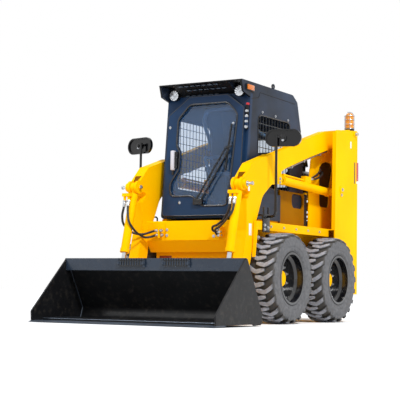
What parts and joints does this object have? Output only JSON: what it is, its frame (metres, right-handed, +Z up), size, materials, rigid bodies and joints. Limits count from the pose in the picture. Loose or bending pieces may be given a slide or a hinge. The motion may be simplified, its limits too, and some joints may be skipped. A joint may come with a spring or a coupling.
{
  "type": "skid steer loader",
  "caption": "Compact four-wheeled loader with a side-arm boom, a flat-bottomed bucket and a glazed cab whose entry is at the front.",
  "frame": {"origin": "on the ground, under the middle of the whole machine", "axes": "+Z up, the bucket points to -Y, +X is the machine's own left"},
  "size_m": [1.7664, 3.13, 2.1299],
  "materials": {
    "yellow_paint": "gloss enamel",
    "black_paint": "gloss enamel",
    "black_gloss": "gloss",
    "tyre_rubber": "matt",
    "chrome_rod": "polished",
    "clear_glass": "clear",
    "lamp_lens": "clear lens",
    "amber_lens": "clear lens",
    "seat_cover": "matt",
    "black_plastic": "satin",
    "engine_iron": "cast",
    "hose_rubber": "satin"
  },
  "bodies": {
    "chassis": {"axle_tubes": "yellow_paint", "beacon": "amber_lens", "cab_floor": "black_paint", "cab_front": "black_paint", "cab_rear": "black_paint", "cab_roof": "black_paint", "cab_side_left": "black_paint", "cab_side_right": "black_paint", "engine": "engine_iron", "engine_door_hinge": "black_paint", "fenders": "yellow_paint", "headlights": "lamp_lens", "hood": "yellow_paint", "levers": "black_plastic", "main_frame": "yellow_paint", "marker_lights": "amber_lens", "mirrors": "black_plastic", "rear_bumper": "black_paint", "rear_glass": "clear_glass", "safety_bar": "black_plastic", "seat": "seat_cover", "side_covers": "yellow_paint", "side_screens": "black_paint", "tower_guards": "hose_rubber", "tower_inner_left": "yellow_paint", "tower_inner_right": "yellow_paint", "tower_outer_left": "yellow_paint", "tower_outer_right": "yellow_paint"},
    "cab_door_body": {"cab_door": "black_paint", "door_glass": "clear_glass"},
    "engine_door_body": {"engine_door": "yellow_paint"},
    "boom": {"arm_left": "yellow_paint", "arm_right": "yellow_paint", "boom_hoses_left": "hose_rubber", "boom_hoses_right": "hose_rubber", "boom_pipes": "yellow_paint", "cross_beam": "yellow_paint"},
    "bucket_body": {"quick_attach": "yellow_paint", "bucket": "black_paint", "cutting_edge": "black_paint", "bucket_steps": "black_paint"},
    "wheel_front_left": {"tyre_front_left": "tyre_rubber", "rim_front_left": "black_gloss"},
    "wheel_front_right": {"tyre_front_right": "tyre_rubber", "rim_front_right": "black_gloss"},
    "wheel_rear_left": {"tyre_rear_left": "tyre_rubber", "rim_rear_left": "black_gloss"},
    "wheel_rear_right": {"tyre_rear_right": "tyre_rubber", "rim_rear_right": "black_gloss"},
    "lift_barrel_left_body": {"lift_barrel_left": "yellow_paint"},
    "lift_rod_left_body": {"lift_rod_left": "chrome_rod"},
    "tilt_barrel_left_body": {"tilt_barrel_left": "yellow_paint"},
    "tilt_rod_left_body": {"tilt_rod_left": "chrome_rod"},
    "lift_barrel_right_body": {"lift_barrel_right": "yellow_paint"},
    "lift_rod_right_body": {"lift_rod_right": "chrome_rod"},
    "tilt_barrel_right_body": {"tilt_barrel_right": "yellow_paint"},
    "tilt_rod_right_body": {"tilt_rod_right": "chrome_rod"}
  },
  "joints": [
    {"name": "wheel_front_left_spin", "type": "hinge", "parent": "chassis", "child": "wheel_front_left", "pos_m": [0.649, -0.069, 0.3865], "axis": [1, 0, 0], "continuous": true},
    {"name": "wheel_front_right_spin", "type": "hinge", "parent": "chassis", "child": "wheel_front_right", "pos_m": [-0.649, -0.069, 0.3865], "axis": [1, 0, 0], "continuous": true},
    {"name": "wheel_rear_left_spin", "type": "hinge", "parent": "chassis", "child": "wheel_rear_left", "pos_m": [0.649, 0.879, 0.3865], "axis": [1, 0, 0], "continuous": true},
    {"name": "wheel_rear_right_spin", "type": "hinge", "parent": "chassis", "child": "wheel_rear_right", "pos_m": [-0.649, 0.879, 0.3865], "axis": [1, 0, 0], "continuous": true},
    {"name": "cab_door_swing", "type": "hinge", "parent": "chassis", "child": "cab_door_body", "pos_m": [0.404, -0.28495, 1.4], "axis": [0, 0.0921, 0.9957], "range_deg": [0, 80]},
    {"name": "engine_door_swing", "type": "hinge", "parent": "chassis", "child": "engine_door_body", "pos_m": [-0.452, 1.547, 0.8], "axis": [0, 0, 1], "range_deg": [0, 100]},
    {"name": "boom_lift", "type": "hinge", "parent": "chassis", "child": "boom", "pos_m": [0, 1.365, 1.79], "axis": [-1, 0, 0], "range_deg": [0, 65]},
    {"name": "bucket_tilt", "type": "hinge", "parent": "boom", "child": "bucket_body", "pos_m": [0, -0.635, 0.205], "axis": [1, 0, 0], "range_deg": [-28, 100]},
    {"name": "lift_barrel_left_pivot", "type": "hinge", "parent": "chassis", "child": "lift_barrel_left_body", "pos_m": [0.517, 1.165, 1.222], "axis": [-1, 0, 0], "range_deg": [-3, 66]},
    {"name": "lift_rod_left_slide", "type": "slide", "parent": "lift_barrel_left_body", "child": "lift_rod_left_body", "axis": [0, -0.9994, 0.0343], "range_m": [-0.01, 0.65]},
    {"name": "tilt_barrel_left_pivot", "type": "hinge", "parent": "boom", "child": "tilt_barrel_left_body", "pos_m": [0.517, -0.582, 1.161], "axis": [-1, 0, 0], "range_deg": [-3, 3]},
    {"name": "tilt_rod_left_slide", "type": "slide", "parent": "tilt_barrel_left_body", "child": "tilt_rod_left_body", "axis": [0, -0.2379, -0.9713], "range_m": [-0.09, 0.3]},
    {"name": "lift_barrel_right_pivot", "type": "hinge", "parent": "chassis", "child": "lift_barrel_right_body", "pos_m": [-0.517, 1.165, 1.222], "axis": [-1, 0, 0], "range_deg": [-3, 66]},
    {"name": "lift_rod_right_slide", "type": "slide", "parent": "lift_barrel_right_body", "child": "lift_rod_right_body", "axis": [0, -0.9994, 0.0343], "range_m": [-0.01, 0.65]},
    {"name": "tilt_barrel_right_pivot", "type": "hinge", "parent": "boom", "child": "tilt_barrel_right_body", "pos_m": [-0.517, -0.582, 1.161], "axis": [-1, 0, 0], "range_deg": [-3, 3]},
    {"name": "tilt_rod_right_slide", "type": "slide", "parent": "tilt_barrel_right_body", "child": "tilt_rod_right_body", "axis": [0, -0.2379, -0.9713], "range_m": [-0.09, 0.3]}
  ],
  "couplings": [
    {"joint": "lift_barrel_left_pivot", "follows": "boom_lift", "ratio": 0.9118},
    {"joint": "lift_rod_left_slide", "follows": "boom_lift", "m_per_rad": 0.55822},
    {"joint": "tilt_barrel_left_pivot", "follows": "bucket_tilt", "ratio": -0.00452},
    {"joint": "tilt_rod_left_slide", "follows": "bucket_tilt", "m_per_rad": 0.1694},
    {"joint": "lift_barrel_right_pivot", "follows": "boom_lift", "ratio": 0.9118},
    {"joint": "lift_rod_right_slide", "follows": "boom_lift", "m_per_rad": 0.55822},
    {"joint": "tilt_barrel_right_pivot", "follows": "bucket_tilt", "ratio": -0.00452},
    {"joint": "tilt_rod_right_slide", "follows": "bucket_tilt", "m_per_rad": 0.1694}
  ]
}
